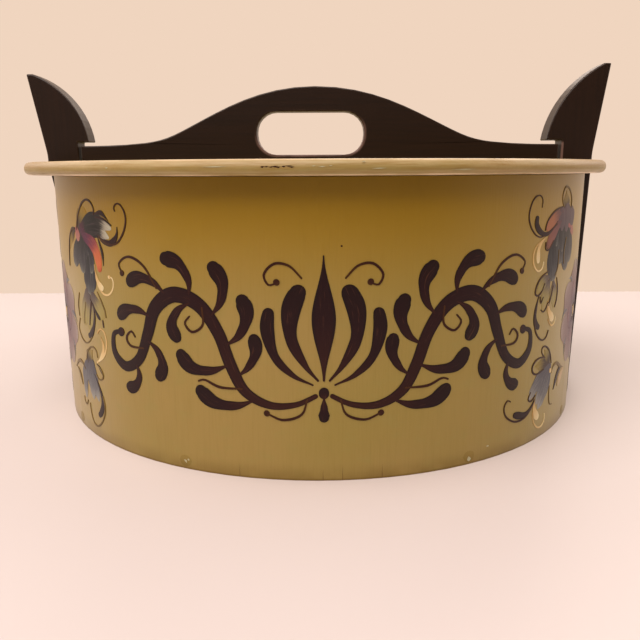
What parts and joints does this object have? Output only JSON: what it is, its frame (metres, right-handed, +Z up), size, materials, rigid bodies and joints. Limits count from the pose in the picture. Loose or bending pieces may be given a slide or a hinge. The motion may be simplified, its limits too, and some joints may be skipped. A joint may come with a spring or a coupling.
{
  "type": "round bentwood tine box",
  "caption": "Round bentwood tine: olive painted band with rosemaling, overhanging lid with a pierced handle that snaps under the hooks of dark upright posts; lifts off",
  "frame": {"origin": "middle of the underside, on the surface it stands on", "axes": "+Z up; -Y is the decorated front; +X runs from the left post to the right post, as seen from the front"},
  "size_m": [0.3947, 0.3778, 0.2203],
  "materials": {
    "olive_paint": "olive green oil paint on wood, satin, brush marked",
    "dark_wood": "very dark brown paint on wood, low satin sheen, worn edges",
    "bare_wood": "bare softwood, aged, matt",
    "peg_wood": "bare hardwood, end grain, matt",
    "birch_root": "split birch root, smooth and slightly glossy"
  },
  "bodies": {
    "box": {"side_band": "olive_paint", "bottom_board": "bare_wood", "bottom_peg_1": "peg_wood", "bottom_peg_2": "peg_wood", "bottom_peg_3": "peg_wood", "bottom_peg_4": "peg_wood", "bottom_peg_5": "peg_wood", "bottom_peg_6": "peg_wood", "bottom_peg_7": "peg_wood", "bottom_peg_8": "peg_wood", "post_peg_left_lower": "peg_wood", "post_peg_left_upper": "peg_wood", "post_peg_right_lower": "peg_wood", "post_peg_right_upper": "peg_wood", "root_lacing_left": "birch_root", "root_lacing_right": "birch_root"},
    "left_post": {"post_left": "dark_wood"},
    "right_post": {"post_right": "dark_wood"},
    "lid": {"lid_board": "olive_paint", "handle": "dark_wood", "handle_peg_1": "peg_wood", "handle_peg_2": "peg_wood", "handle_peg_3": "peg_wood", "handle_peg_4": "peg_wood"}
  },
  "joints": [
    {"name": "lid_lift", "type": "slide", "parent": "box", "child": "lid", "axis": [0, 0, 1], "range_m": [0, 0.085], "deforming": ["post_left", "post_right"]},
    {"name": "left_post_spring", "type": "hinge", "parent": "box", "child": "left_post", "pos_m": [-0.1835, 0, 0], "axis": [0, -1, 0], "range_deg": [0, 4], "stiffness_Nm_per_rad": 30, "deforming": ["post_left"]},
    {"name": "right_post_spring", "type": "hinge", "parent": "box", "child": "right_post", "pos_m": [0.1852, 0, 0], "axis": [0, 1, 0], "range_deg": [0, 4], "stiffness_Nm_per_rad": 30, "deforming": ["post_right"]}
  ]
}
